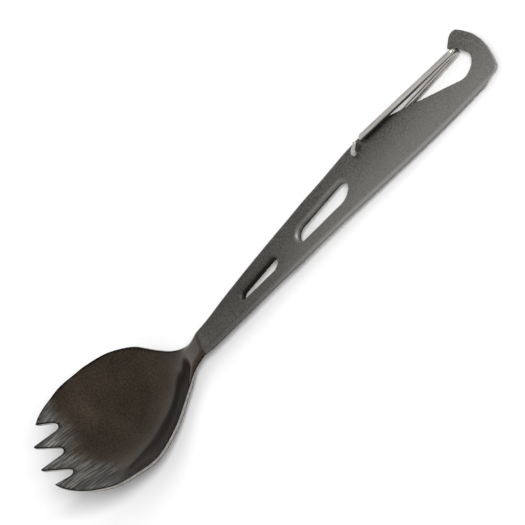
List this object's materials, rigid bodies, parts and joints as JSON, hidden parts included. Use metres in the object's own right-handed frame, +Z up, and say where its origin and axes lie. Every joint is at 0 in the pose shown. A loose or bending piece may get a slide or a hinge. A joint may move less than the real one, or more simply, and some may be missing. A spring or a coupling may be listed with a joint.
{
  "type": "spork",
  "caption": "Pressed metal spork with four tines, slotted handle and a hook at its end, closed by a sprung wire gate that swings inward.",
  "frame": {"origin": "middle of the bounding box, on the surface that the spork lies on with its bowl open upward", "axes": "+X along the spork from the tines to the hook, +Y across it towards the gate's side, +Z up"},
  "size_m": [0.1596, 0.041, 0.0189],
  "materials": {
    "titanium": "matt blasted titanium, the bowl polished",
    "polished_steel": "bright stainless steel wire"
  },
  "bodies": {
    "spork": {"spork_body": "titanium"},
    "gate": {"wire_gate": "polished_steel"}
  },
  "joints": [
    {"name": "gate_swing", "type": "hinge", "parent": "spork", "child": "gate", "pos_m": [0.0353, 0.00665, 0.00323], "axis": [0.0288, 0, 0.9996], "range_deg": [-11, 0], "stiffness_Nm_per_rad": 0.02, "springref_deg": 5.73}
  ]
}
